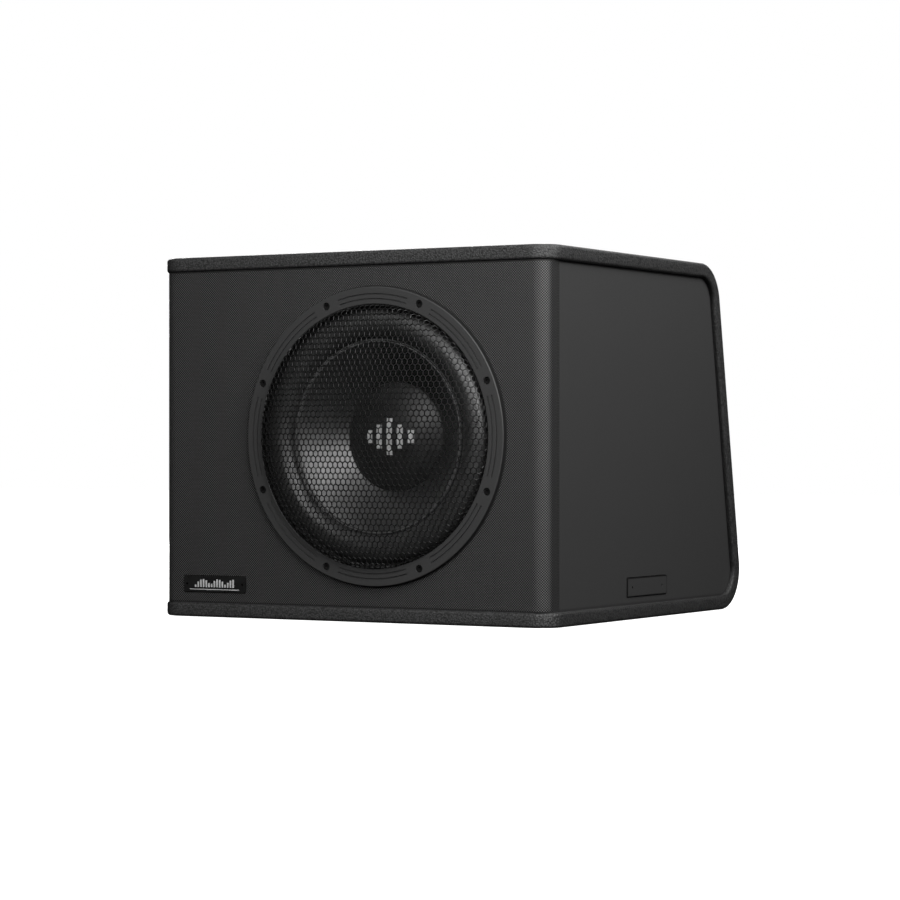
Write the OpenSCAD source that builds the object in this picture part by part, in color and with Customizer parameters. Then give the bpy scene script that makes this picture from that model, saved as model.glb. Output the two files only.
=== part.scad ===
// Powered car subwoofer: a sealed wedge cabinet with a 12 inch driver behind a domed hex grille
// and an amplifier in the left side panel. +Z is up and the grille faces -Y. Lengths are in mm.
// The origin is at the middle of the cabinet's underside. Depths are first measured from the
// frame's front edge, growing towards the back, and place() then moves them to the origin.

/* [Cabinet] */
// Width over the top and bottom panels
box_w = 500; // [480:5:540]
// Height of the cabinet
box_h = 400; // [390:5:430]
// Depth to the sharp corner of the slanted back, at the floor
depth_bottom = 483; // [475:2:520]
// Depth to the sharp corner of the slanted back, at the top
depth_top = 411; // [405:2:430]
// Thickness of the top, bottom, back and side boards
board = 16; // [15:0.5:18]
// Outer radius of the two rear corners
rear_r = 47; // [40:1:55]
// Plan radius of the top and bottom panels' front corners
lip_r = 27; // [20:1:32]
// How far the side panels sit inside the frame's side edges
side_recess = 5.5; // [5.5:0.5:8]
// How far the baffle sits behind the frame's front edge
front_recess = 2.5; // [2:0.5:5]
// Thickness of the front baffle
baffle_t = 19; // [18:0.5:22]
// Plan radius of the cabinet's front corners, over the covering
wrap_r = 17; // [16:0.5:18]
// How far the baffle's covering runs along the side past the rounded corner
wrap_run = 8; // [0:1:10]
// Thickness of the vinyl coverings
vinyl_t = 0.8; // [0.6:0.1:1]
// Width of the seam between the baffle's covering and a side's covering
seam_w = 1; // [1:0.5:3]

/* [Driver] */
// Driver centre, to the right of the cabinet's middle
driver_x = 34; // [26:1:40]
// Height of the driver's centre
driver_z = 200; // [195:1:205]
// Radius of the trim ring's outer edge
ring_r = 161; // [160.5:0.5:163]
// Radius of the circle that the eight driver screws lie on
bolt_r = 152.3; // [152:0.1:153]
// Height of the grille's apex in front of the frame's front edge
grille_rise = 23; // [18:1:30]

/* [Badges] */
// Length of the front badge plate
badge_w = 82; // [76:1:90]
// Height of the front badge plate
badge_h = 17.5; // [16:0.5:22]
// Length of the side's blank plate
side_plate_w = 98; // [88:1:100]
// Height of the side's blank plate
side_plate_h = 20.5; // [16:0.5:22]
// How far a badge plate stands out of the covering
badge_rise = 1; // [0.6:0.1:1.2]

/* [Amplifier] */
// Depth of the amplifier panel's centre behind the frame's front edge
amp_y = 225; // [220:1:232]
// Height of the amplifier panel's centre
amp_z = 150; // [148:1:160]
// Length of the amplifier panel's flange
amp_w = 328; // [326:1:332]
// Height of the amplifier panel's flange
amp_h = 198; // [196:1:202]
// Depth of the recess that holds the controls, below the flange's face
amp_depth = 20; // [20:0.5:22]
// Travel of a slide switch
switch_travel = 4; // [3:0.5:4]

/* [Hidden] */
$fn = 96;

// Colours
pebbled_black = [0.10, 0.10, 0.10];
woven_black = [0.07, 0.07, 0.07];
smooth_black = [0.08, 0.08, 0.08];
gloss_black = [0.04, 0.04, 0.04];
grey_plastic = [0.16, 0.16, 0.16];
board_brown = [0.45, 0.35, 0.25];
steel = [0.6, 0.6, 0.62];
zinc = [0.75, 0.75, 0.72];
copper = [0.72, 0.40, 0.22];

// Cabinet
slant = atan((depth_bottom - depth_top) / box_h);
low_c = [back_y(rear_r, rear_r), rear_r];
high_c = [back_y(box_h - rear_r, rear_r), box_h - rear_r];
mid_y = (low_c[0] + rear_r - grille_rise) / 2;
skin_y = front_recess;
baffle_y = skin_y + vinyl_t;
baffle_back = baffle_y + baffle_t;
skin_x = box_w / 2 - side_recess;
board_x = skin_x - vinyl_t;
inner_x = skin_x - board;
wrap_end = skin_y + wrap_r + wrap_run;
far = 1000; // longer than anything that is cut

// Driver, as radii and depths
ring_front = -3;
ring_in_r = 142;
ring_edge_r = 1.3;
lip_y = 1.1;
grille_t = 1.2;
grille_r = 141.6;
grille_shoulder = 7;
grille_cap_r = 700;
flange_y = [skin_y, 6.5];
flange_r = 158;
rebate_r = 158.6;
rebate_y = 8;
cutout_r = 144;
shelf_y = 11;
roll_c = [122, 9.4];
roll_rx = 15;
roll_ry = 12.4;
roll_t = 1.6;
cone_t = 1.2;
coil_r = 38;
plate_y = [104, 114];
magnet_end = 154;
back_plate_end = 164;
bolts = 8;
screw_r = 2.5;

// Badges
badge_pin_x = 37;
badge_pin_r = 1.35;
badge_bore_r = 1.45;
badge_gap = 0.9;
front_badge = [badge_w, badge_h];
side_plate = [side_plate_w, side_plate_h];
badge_x = -174;
badge_z = 36.6;
side_badge_y = 235;
side_badge_z = 35;

// Amplifier, in the panel's own frame: x to the cabinet's front, y up, z outwards from the
// frame's side edge, so that everything lies below z = 0
skin_z = -side_recess;
gasket_t = 1;
flange_t = 2;
flange_z = skin_z + gasket_t + flange_t;
floor_z = flange_z - amp_depth;
tray_t = 2;
recess = [300, 170];
recess_r = 8;
window_gap = 0.3;
tray_back = floor_z - tray_t;
board_z = tray_back - 15.5;
amp_end = tray_back - 60;
connector_y = -50;
control_y = -12;
knob_x = [110, 75, 40];
switch_x = [2, -32];
led_x = -66;
terminal_x = -112;
terminal_pitch = 15;
fuse_x = -58;
fuse_rows = [-7, 7];
high_level_x = -12;
remote_x = 24;
rca_x = 92;
rca_gap = 10;
terminal_top = floor_z + 14;
wire_r = 1.6;

// A point of a line parallel to the slanted back, and inset from it
function back_y(z, inset) =
    depth_bottom - z * tan(slant) - inset / cos(slant);

// Points of an arc about c, from angle a0 to a1
function arc(c, r, a0, a1, n = 12) =
    [for (i = [0:n]) let (a = a0 + (a1 - a0) * i / n) c + r * [cos(a), sin(a)]];

// Points of half an ellipse that bulges to the front
function roll(c, rx, ry, a0, a1, n = 24) =
    [for (i = [0:n]) let (a = a0 + (a1 - a0) * i / n) c + [rx * cos(a), ry * sin(a)]];

function bezier(p, n) =
    [for (i = [0:n]) let (t = i / n, s = 1 - t)
        s^3 * p[0] + 3 * s^2 * t * p[1] + 3 * s * t^2 * p[2] + t^3 * p[3]];

function unit(v) = v / norm(v);

// Moves depths measured from the frame's front edge to the origin
module place() translate([0, -mid_y, 0]) children();

// Turns z to point backwards along the driver's axis, with radii in the xy plane
module on_driver() place() translate([driver_x, 0, driver_z]) rotate([-90, 0, 0]) children();

// The eight screw places round the driver
module at_bolts() for (i = [0:bolts - 1])
    rotate([0, 0, (i + 0.5) * 360 / bolts]) translate([bolt_r, 0, 0]) children();

// The amplifier panel's own frame, in the left side of the cabinet
module on_amp() place() translate([-box_w / 2, amp_y, amp_z]) rotate([90, 0, -90]) children();

// Stands a drawing of the side view, depth by height, across the cabinet from x0 to x1
module across(x0, x1) translate([x0, 0, 0]) rotate([90, 0, 90]) linear_extrude(x1 - x0) children();

module tube_ring(r_out, r_in, z0, z1) translate([0, 0, z0]) difference() {
    cylinder(r = r_out, h = z1 - z0);
    translate([0, 0, -1]) cylinder(r = r_in, h = z1 - z0 + 2);
}

module rounded(size, r) {
    square([size[0] - 2 * r, size[1]], center = true);
    square([size[0], size[1] - 2 * r], center = true);
    for (x = [-1, 1], y = [-1, 1])
        translate([x * (size[0] / 2 - r), y * (size[1] / 2 - r)]) circle(r);
}

// A block on a panel: its middle in x and y, its size, and the height of its underside
module block(at, size, z0) translate([at[0] - size[0] / 2, at[1] - size[1] / 2, z0]) cube(size);

// A bent round wire through points; none of its stretches runs straight up
module wire(points, r, sides = 8) {
    n = len(points);
    function along(i) = unit(points[min(i + 1, n - 1)] - points[max(i - 1, 0)]);
    rings = [for (i = [0:n - 1]) let (t = along(i), u = unit(cross(t, [0, 0, 1])), v = cross(u, t))
        for (k = [0:sides - 1]) let (a = 360 * k / sides)
            points[i] + r * (cos(a) * u + sin(a) * v)];
    skin = [for (i = [0:n - 2], k = [0:sides - 1]) let (m = (k + 1) % sides)
        [i * sides + k, (i + 1) * sides + k, (i + 1) * sides + m, i * sides + m]];
    ends = [[for (k = [0:sides - 1]) k], [for (k = [sides - 1:-1:0]) (n - 1) * sides + k]];
    polyhedron(rings, concat(skin, ends));
}

// ---- cabinet ----

// The cabinet seen from the side, inset from the frame's outside
module side_outline(inset, front) {
    r = rear_r - inset;
    toward = [cos(slant), sin(slant)];
    polygon([
        [front, inset], [low_c[0], inset], low_c + r * toward,
        high_c + r * toward, [high_c[0], box_h - inset], [front, box_h - inset],
    ]);
    translate(low_c) circle(r);
    translate(high_c) circle(r);
}

// The cabinet seen from above: straight sides and two rounded front corners
module plan(half_w, front, r, back) intersection() {
    translate([-half_w, front]) square([2 * half_w, back - front]);
    union() {
        for (x = [-1, 1]) translate([x * (half_w - r), front + r]) circle(r);
        translate([r - half_w, front]) square([2 * (half_w - r), back - front]);
        translate([-half_w, front + r]) square([2 * half_w, back - front]);
    }
}

module lid_panel(back) linear_extrude(board) plan(box_w / 2, 0, lip_r, back);

// A quarter-round rear corner between two rays from its centre
module rear_corner(c, ray0, middle, ray1) across(-box_w / 2, box_w / 2) translate(c) intersection() {
    difference() {
        circle(rear_r);
        circle(rear_r - board);
    }
    polygon(2 * rear_r * [[0, 0], ray0, middle, ray1]);
}

module top_panel() color(pebbled_black) place()
    translate([0, 0, box_h - board]) lid_panel(high_c[0]);

module bottom_panel() color(pebbled_black) place() lid_panel(low_c[0]);

module back_panel() color(pebbled_black) place() across(-box_w / 2, box_w / 2) {
    toward = [cos(slant), sin(slant)];
    inner = rear_r - board;
    polygon([low_c + rear_r * toward, high_c + rear_r * toward,
        high_c + inner * toward, low_c + inner * toward]);
}

module top_rear_corner() color(pebbled_black) place()
    rear_corner(high_c, [1, tan(slant)], [1, 1], [0, 1]);

module bottom_rear_corner() color(pebbled_black) place()
    rear_corner(low_c, [0, -1], [1, -1], [1, tan(slant)]);

module front_baffle() color(board_brown) difference() {
    place() translate([0, 0, board]) linear_extrude(box_h - 2 * board) intersection() {
        plan(board_x, baffle_y, wrap_r - vinyl_t, depth_top);
        translate([-far / 2, 0]) square([far, baffle_back]);
    }
    on_driver() {
        cylinder(r = cutout_r, h = far);
        cylinder(r = rebate_r, h = rebate_y);
        at_bolts() cylinder(r = 3.8, h = far);
    }
    place() for (x = [-1, 1]) translate([badge_x + x * badge_pin_x, 0, badge_z])
        rotate([-90, 0, 0]) cylinder(r = badge_bore_r, h = baffle_y + 6);
}

// A side board between the baffle and the back, with x0 and x1 as its two faces
module side_board(x0, x1) place() intersection() {
    across(x0, x1) side_outline(board, baffle_back);
    linear_extrude(box_h) plan(board_x, baffle_y, wrap_r - vinyl_t, far);
}

module left_side_panel() color(board_brown) difference() {
    side_board(-board_x, -inner_x);
    on_amp() {
        translate([0, 0, -far / 2]) linear_extrude(far) amp_window();
        at_amp_screws() translate([0, 0, -19]) cylinder(r = 1.6, h = 19);
    }
}

module right_side_panel() color(board_brown) difference() {
    side_board(inner_x, board_x);
    place() for (y = [-1, 1]) translate([inner_x + 8, side_badge_y + y * badge_pin_x, side_badge_z])
        rotate([0, 90, 0]) cylinder(r = badge_bore_r, h = far);
}

// The woven covering runs over the baffle and round both front corners
module baffle_wrap() color(woven_black) difference() {
    place() translate([0, 0, board]) linear_extrude(box_h - 2 * board) difference() {
        plan(skin_x, skin_y, wrap_r, wrap_end - seam_w / 2);
        plan(board_x, baffle_y, wrap_r - vinyl_t, far);
    }
    on_driver() cylinder(r = rebate_r, h = baffle_y + 1);
    place() translate([badge_x, baffle_y + 1, badge_z]) rotate([90, 0, 0])
        linear_extrude(far) badge_outline(front_badge, badge_gap);
}

module left_side_vinyl() color(smooth_black) difference() {
    place() across(-skin_x, -board_x) side_outline(board, wrap_end + seam_w / 2);
    on_amp() {
        translate([0, 0, -far / 2]) linear_extrude(far) amp_window();
        at_amp_screws() translate([0, 0, -far / 2]) cylinder(r = 1.9, h = far);
    }
}

module right_side_vinyl() color(smooth_black) difference() {
    place() across(board_x, skin_x) side_outline(board, wrap_end + seam_w / 2);
    place() across(inner_x, far) translate([side_badge_y, side_badge_z])
        badge_outline(side_plate, badge_gap);
}

// ---- driver ----

// A flat ring with rounded front edges, a rebate underneath for the grille's lip, eight
// counterbored holes and two thin arc grooves between each pair of holes
module trim_ring() color(smooth_black) on_driver() difference() {
    groove_w = 1.6;
    groove_depth = 1.3;
    groove_span = 33;
    inner_edge = 1.2;
    rotate_extrude() polygon(concat(
        arc([ring_in_r + inner_edge, ring_front + inner_edge], inner_edge, 180, 270, 6),
        arc([ring_r - ring_edge_r, ring_front + ring_edge_r], ring_edge_r, 270, 360, 8),
        [[ring_r, skin_y], [148, skin_y], [148, lip_y], [ring_in_r, lip_y]]));
    at_bolts() {
        translate([0, 0, ring_front - 1]) cylinder(r = 4.3, h = 5);
        translate([0, 0, ring_front]) cylinder(r = 2.9, h = 10);
    }
    for (i = [0:bolts - 1], r = [147.6, 152.9])
        rotate([0, 0, i * 360 / bolts - groove_span / 2]) rotate_extrude(angle = groove_span)
            translate([r - groove_w / 2, ring_front - 1]) square([groove_w, 1 + groove_depth]);
}

// The domed grille with its rolled shoulder, and a flat lip held under the trim ring
module grille_mesh() color(gloss_black) on_driver() rotate_extrude() {
    cap_c = [0, grille_cap_r - grille_rise];
    edge_r = grille_r - grille_shoulder;
    edge_c = [edge_r, cap_c[1] - sqrt((grille_cap_r - grille_shoulder)^2 - edge_r^2)];
    tilt = asin(edge_r / (grille_cap_r - grille_shoulder)) - 90;
    inner_r = grille_r - grille_t;
    polygon(concat(
        arc(cap_c, grille_cap_r, -90, tilt, 24),
        arc(edge_c, grille_shoulder, tilt, 0, 12),
        [[grille_r, lip_y], [147.6, lip_y], [147.6, lip_y + grille_t], [inner_r, lip_y + grille_t]],
        arc(edge_c, grille_shoulder - grille_t, 0, tilt, 12),
        arc(cap_c, grille_cap_r - grille_t, tilt, -90, 24)));
}

module driver_screws() color(gloss_black) on_driver() at_bolts() difference() {
    union() {
        translate([0, 0, -1.4]) cylinder(r = 4, h = 2.4);
        cylinder(r = screw_r, h = 26);
    }
    translate([0, 0, -2]) cylinder(r = 2.3, h = 2.2, $fn = 6);
}

module tee_nuts() color(zinc) on_driver() at_bolts() difference() {
    union() {
        translate([0, 0, rebate_y + 2]) cylinder(r = 3.75, h = baffle_back - rebate_y - 2);
        translate([0, 0, baffle_back]) cylinder(r = 9, h = 1.2);
    }
    cylinder(r = screw_r + 0.05, h = 40);
}

// A cast basket: flange, surround shelf, windowed cone, spider landing and motor seat
module basket() color(grey_plastic) on_driver() difference() {
    rotate_extrude() {
        translate([140.5, flange_y[0]]) square([flange_r - 140.5, flange_y[1] - flange_y[0]]);
        translate([140.5, flange_y[0]]) square([2.5, 24]);
        translate([131, shelf_y]) square([12, 3]);
        polygon([[143, 20], [143, 26.5], [93, 86], [88.5, 86], [138.5, 24], [140.5, 20]]);
        translate([76, 85]) square([17, 4]);
        translate([89, 85]) square([4, plate_y[0] - 85]);
        translate([44, plate_y[0] - 4]) square([49, 4]);
    }
    at_bolts() cylinder(r = 2.9, h = 10);
    for (i = [0:bolts - 1]) rotate([0, 0, i * 360 / bolts]) rotate([90, 0, 90])
        linear_extrude(far) polygon([[-34, 30], [34, 30], [23, 82], [-23, 82]]);
}

module basket_gasket() color(gloss_black) on_driver() difference() {
    tube_ring(flange_r, 146, flange_y[1], rebate_y);
    at_bolts() cylinder(r = 2.9, h = 10);
}

// One wide half roll between a narrow foot on the cone and a foot on the basket's shelf
module surround() color(smooth_black) on_driver() rotate_extrude() {
    under = [roll_rx - roll_t, roll_ry - roll_t];
    polygon(concat(
        [[103.4, shelf_y], [103.4, roll_c[1]]],
        roll(roll_c, roll_rx, roll_ry, 180, 360),
        [[140.4, roll_c[1]], [140.4, shelf_y], [roll_c[0] + under[0], shelf_y]],
        roll(roll_c, under[0], under[1], 360, 180),
        [[roll_c[0] - under[0], shelf_y]]));
}

// A slightly curved cone with a raised rim that the trim ring sits on
module cone() color(gloss_black) on_driver() rotate_extrude() {
    front = bezier([[101.6, 8.6], [86, 20], [70, 38], [coil_r + 0.1, 66]], 16);
    rear = [for (i = [len(front) - 1:-1:0]) front[i] + cone_t * [0.72, 0.94]];
    polygon(concat([[107.4, shelf_y], [103.2, shelf_y], [103.2, 8.6]], front,
        [[coil_r + 0.1, 69]], rear, [[104.2, shelf_y + cone_t], [107.4, shelf_y + cone_t]]));
}

// A flat ring with two thin beads on its front
module cone_trim_ring() color(steel) on_driver() rotate_extrude() polygon(concat(
    [[101.4, 8.6]], arc([101.95, 7.8], 0.55, 180, 360), arc([104.25, 7.8], 0.55, 180, 360),
    [[104.8, 8.6]]));

// A convex dust cap that stands on the cone
module dust_cap() color(gloss_black) on_driver() rotate_extrude() {
    cap_r = 59.3;
    rise = 14;
    edge_y = 46;
    r = (cap_r^2 + rise^2) / (2 * rise);
    c = [0, edge_y - rise + r];
    a = acos(cap_r / r);
    polygon(concat(arc(c, r, -90, -a, 20), arc(c, r - 1, -a, -90, 20)));
}

module voice_coil_former() color(copper) on_driver() tube_ring(coil_r, coil_r - 0.4, 64, 128);

module voice_coil() color(copper) on_driver() tube_ring(coil_r + 1, coil_r, 96, 122);

// A corrugated disc that centres the coil
module spider() color([0.75, 0.6, 0.25]) on_driver() rotate_extrude() {
    steps = 56;
    inner = coil_r + 0.35;
    wave_end = 75;
    wave = concat([for (i = [0:steps]) let (s = i / steps, fade = min(1, 6 * s, 6 * (1 - s)))
        [inner + (wave_end - inner) * s, 84.2 - 2.2 * fade * sin(s * 6 * 360)]], [[81, 84.2]]);
    polygon(concat(wave, [for (i = [len(wave) - 1:-1:0]) wave[i] + [0, 0.8]]));
}

module top_plate() color(zinc) on_driver() tube_ring(90, coil_r + 1.8, plate_y[0], plate_y[1]);

module magnet_rings() color([0.2, 0.2, 0.22]) on_driver() for (i = [0, 1]) {
    ring_t = (magnet_end - plate_y[1]) / 2;
    tube_ring(90, 50, plate_y[1] + i * ring_t, plate_y[1] + (i + 1) * ring_t);
}

module back_plate_pole() color(zinc) on_driver() difference() {
    union() {
        translate([0, 0, magnet_end]) cylinder(r = 88, h = back_plate_end - magnet_end);
        translate([0, 0, plate_y[0]]) cylinder(r = coil_r - 1.2, h = magnet_end - plate_y[0]);
    }
    cylinder(r = 12, h = far);
}

// Two spring terminals on a small board, on the side of the basket towards the amplifier
module driver_terminals() color(grey_plastic) on_driver() difference() {
    union() {
        translate([-102, -12, 90]) cube([12, 24, 9]);
        for (y = [-6, 6]) translate([-99, y, 88]) cylinder(r = 2, h = 2);
    }
    translate([0, 0, 80]) cylinder(r = 93, h = 30);
}

// Two flexible leads from the terminals, through a basket window, to the coil former
module tinsel_leads() color(copper) on_driver() for (y = [-6, 6])
    wire(bezier([[-99, y, 88], [-101, y, 56], [-70, y, 84], [-39, y, 73]], 20), 0.8);

// Two wires from the amplifier's board to the driver's terminals, inside the cabinet
module speaker_wires() color(gloss_black) place() for (z = [-6, 6])
    wire(bezier([[-box_w / 2 - board_z + 1.6, 200, 185 + z], [-80, 200, 185 + z],
        [-140, 94.5, driver_z + z], [driver_x - 102, 94.5, driver_z + z]], 28), wire_r);

// ---- badges ----

module badge_outline(size, grow) rounded([size[0] + 2 * grow, size[1] + 2 * grow], 1.2 + grow);

// A plate with two pin holes, lying on z = 0
module badge_plate(size) difference() {
    linear_extrude(vinyl_t + badge_rise) badge_outline(size, 0);
    for (x = [-1, 1]) translate([x * badge_pin_x, 0, -1]) cylinder(r = badge_bore_r, h = 10);
}

// Turns z to point out of the baffle, or out of the right side
module on_front_badge() place() translate([badge_x, baffle_y, badge_z]) rotate([90, 0, 0]) children();
module on_side_badge() place() translate([board_x, side_badge_y, side_badge_z])
    rotate([90, 0, 90]) children();

module front_badge_plate() color(gloss_black) on_front_badge() badge_plate(front_badge);

// A plain row of level bars over a thin line
module front_badge_mark() color(zinc) on_front_badge() translate([0, 0, vinyl_t + badge_rise]) {
    bars = 15;
    pitch = 3.6;
    for (i = [0:bars - 1]) {
        h = 2.6 + 6.4 * abs(sin(i * 180 / (bars - 1) * 2.5));
        translate([(i - (bars - 1) / 2) * pitch - 1, -3.5, 0]) cube([2, h, 0.3]);
    }
    translate([-33, -6.4, 0]) cube([66, 0.9, 0.3]);
}

module side_blank_plate() color(smooth_black) on_side_badge() badge_plate(side_plate);

module badge_pin_pair() for (x = [-1, 1])
    translate([x * badge_pin_x, 0, -5]) cylinder(r = badge_pin_r, h = 5 + vinyl_t + badge_rise - 0.3);

module badge_pins() color(gloss_black) {
    on_front_badge() badge_pin_pair();
    on_side_badge() badge_pin_pair();
}

// ---- amplifier ----

module amp_window() rounded(recess + 2 * (tray_t + window_gap) * [1, 1], recess_r + tray_t);

// Ten screws along the middle of the flange
module at_amp_screws() {
    x = (amp_w + recess[0]) / 4;
    y = (amp_h + recess[1]) / 4;
    for (p = [for (i = [-1, 1], j = [-1, 1]) [i * x, j * y],
            for (i = [-1, 1], j = [-1, 1]) [i * x / 3, j * y],
            for (i = [-1, 1]) [i * x, 0]])
        translate(p) children();
}

module amp_frame(z0, t) translate([0, 0, z0]) difference() {
    linear_extrude(t) difference() {
        rounded([amp_w, amp_h], 8);
        amp_window();
    }
    at_amp_screws() translate([0, 0, -1]) cylinder(r = 1.9, h = t + 2);
}

module amp_gasket() color(gloss_black) on_amp() amp_frame(skin_z, gasket_t);

// A pressed tray: flange, four walls and a floor with the openings for the controls
module amp_tray() color(smooth_black) on_amp() difference() {
    union() {
        translate([0, 0, flange_z - flange_t]) linear_extrude(flange_t) rounded([amp_w, amp_h], 8);
        translate([0, 0, tray_back]) linear_extrude(amp_depth)
            rounded(recess + 2 * tray_t * [1, 1], recess_r + tray_t);
    }
    translate([0, 0, floor_z]) linear_extrude(far) rounded(recess, recess_r);
    at_amp_screws() translate([0, 0, skin_z]) cylinder(r = 1.9, h = 10);
    for (x = knob_x) translate([x, control_y, tray_back - 1]) cylinder(r = 4.1, h = 10);
    for (x = switch_x) block([x, control_y], [13, 7, 10], tray_back - 1);
    translate([led_x, control_y, tray_back - 1]) cylinder(r = 2.6, h = 10);
}

module amp_screws() color(gloss_black) on_amp() at_amp_screws() difference() {
    union() {
        translate([0, 0, flange_z]) cylinder(r = 3.4, h = 1.7);
        translate([0, 0, -18]) cylinder(r = 1.5, h = 18 + flange_z);
    }
    for (a = [0, 90]) rotate([0, 0, a]) block([0, 0], [4, 0.9, 2], flange_z + 0.7);
}

// A plate with upright fins in the upper half of the recess
module amp_heatsink() color(smooth_black) on_amp() {
    fins = 35;
    pitch = 8;
    block([0, 46], [284, 68, 3], floor_z);
    for (i = [0:fins - 1]) block([(i - (fins - 1) / 2) * pitch, 46], [2.2, 68, 12], floor_z + 3);
}

// A pressed cover over the back of the amplifier, with a hole for the speaker wires
module amp_rear_cover() color(steel) on_amp() difference() {
    translate([0, 0, amp_end]) linear_extrude(tray_back - amp_end) rounded([296, 166], 6);
    translate([0, 0, amp_end + 1.5]) linear_extrude(far) rounded([293, 163], 4.5);
    translate([25, 37, amp_end - 1]) cylinder(r = 14, h = 4);
}

module amp_circuit_board() color([0.05, 0.25, 0.12]) on_amp()
    block([0, 0], [276, 146, 1.6], board_z - 1.6);

module amp_capacitors() color([0.1, 0.1, 0.2]) on_amp() for (x = [-110, -84, -58, -32])
    translate([x, 40, board_z - 1.6 - 34]) cylinder(r = 11, h = 34);

module amp_toroid() color(copper) on_amp() translate([95, -20, board_z - 1.6 - 13])
    rotate_extrude() translate([24, 0]) rounded([20, 26], 6);

module amp_transistors() color(gloss_black) on_amp() for (i = [0:7])
    block([-105 + 30 * i, 62], [10, 15, 4.5], tray_back - 4.5);

// Three potentiometers behind the floor, with bushings that come through it
module potentiometers() color(steel) on_amp() for (x = knob_x)
    translate([x, control_y, 0]) difference() {
        union() {
            block([0, 0], [16, 16, 12], tray_back - 12);
            translate([0, 0, tray_back]) cylinder(r = 4, h = tray_t + 1);
        }
        translate([0, 0, tray_back - 10]) cylinder(r = 3.05, h = 20);
    }

// A fluted knob on its 6 mm shaft, with a pointer groove on its face
module control_knob(x) color(gloss_black) on_amp() translate([x, control_y, 0]) {
    flutes = 18;
    base = floor_z + 1.5;
    difference() {
        translate([0, 0, base]) cylinder(r = 7.2, h = 12.5);
        for (i = [0:flutes - 1]) rotate([0, 0, i * 360 / flutes])
            translate([7.7, 0, base + 2]) cylinder(r = 0.9, h = 20);
        block([0, 4], [1.2, 7, 2], base + 11.7);
    }
    translate([0, 0, tray_back - 9]) cylinder(r = 3, h = base - tray_back + 9);
}

module level_knob() control_knob(knob_x[0]);
module lowpass_knob() control_knob(knob_x[1]);
module bass_knob() control_knob(knob_x[2]);

// Two slide switch bodies, each with a bezel, a neck through the floor and a housing behind
module switch_bodies() color(grey_plastic) on_amp() for (x = switch_x)
    translate([x, control_y, 0]) difference() {
        union() {
            block([0, 0], [17, 11, 1.4], floor_z);
            block([0, 0], [12.6, 6.6, tray_t], tray_back);
            block([0, 0], [15, 9, 9], tray_back - 9);
        }
        block([0, 0], [switch_travel + 5.6, 3.6, 20], tray_back - 7);
    }

module switch_button(x) color(zinc) on_amp()
    block([x - switch_travel / 2, control_y], [5.2, 3.2, tray_t + 10.5], tray_back - 6.5);

module phase_switch() switch_button(switch_x[0]);
module turn_on_switch() switch_button(switch_x[1]);

module status_led() color([0.2, 0.5, 0.9]) on_amp() translate([led_x, control_y, tray_back]) {
    cylinder(r = 2.5, h = tray_t + 1.5);
    translate([0, 0, tray_t + 1.5]) intersection() {
        sphere(r = 2.5);
        cylinder(r = 5, h = 5);
    }
}

// Three clamping ways side by side, each with a wire hole below and a clamping screw above
module terminal_block() color(gloss_black) on_amp() for (i = [-1:1])
    translate([terminal_x + i * terminal_pitch, connector_y, 0]) difference() {
        block([0, 0], [terminal_pitch - 0.4, 24, terminal_top - floor_z], floor_z);
        translate([0, -5, terminal_top - 12]) cylinder(r = 3.2, h = 20);
    }

module terminal_screws() color(zinc) on_amp() for (i = [-1:1])
    translate([terminal_x + i * terminal_pitch, connector_y + 6.5, terminal_top]) difference() {
        cylinder(r = 2.6, h = 0.9);
        block([0, 0], [6, 0.9, 2], 0.3);
    }

module fuse_blades(grow, z0, h) for (y = fuse_rows, x = [-7, 7])
    block([fuse_x + x, connector_y + y], [5 + grow, 0.8 + grow, h], z0);

module fuse_holder() color(grey_plastic) on_amp() difference() {
    block([fuse_x, connector_y], [30, 28, 5], floor_z);
    fuse_blades(0.2, floor_z + 1, 10);
}

module blade_fuses() color([0.85, 0.45, 0.1]) on_amp() {
    for (y = fuse_rows) block([fuse_x, connector_y + y], [19.2, 5.2, 10], floor_z + 5);
    fuse_blades(0, floor_z + 1.5, 3.5);
}

// The moulded part of two phono sockets: a base and two cores with the centre contact's hole
module rca_housing() color(gloss_black) on_amp() difference() {
    union() {
        block([rca_x, connector_y], [42, 18, 5], floor_z);
        for (x = [-1, 1]) translate([rca_x + x * rca_gap, connector_y, floor_z + 5]) cylinder(r = 3.1, h = 8);
    }
    for (x = [-1, 1]) translate([rca_x + x * rca_gap, connector_y, floor_z + 5]) cylinder(r = 1.6, h = 20);
}

module rca_sleeves() color(steel) on_amp() for (x = [-1, 1])
    translate([rca_x + x * rca_gap, connector_y, 0]) tube_ring(4.15, 3.15, floor_z + 5, floor_z + 14);

// A socket for the high-level input's plug, with four pins at the bottom of its cavity
module high_level_socket() color(grey_plastic) on_amp() {
    difference() {
        block([high_level_x, connector_y], [24, 16, 14], floor_z);
        block([high_level_x, connector_y], [20, 12, 20], floor_z + 3);
    }
    for (x = [-5, 5], y = [-2.8, 2.8])
        translate([high_level_x + x, connector_y + y, floor_z + 3]) cylinder(r = 0.6, h = 4);
}

// A modular socket for the remote level control's lead
module remote_socket() color(gloss_black) on_amp() difference() {
    block([remote_x, connector_y], [18, 16, 14], floor_z);
    block([remote_x, connector_y], [12, 8, 20], floor_z + 3);
}

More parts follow.
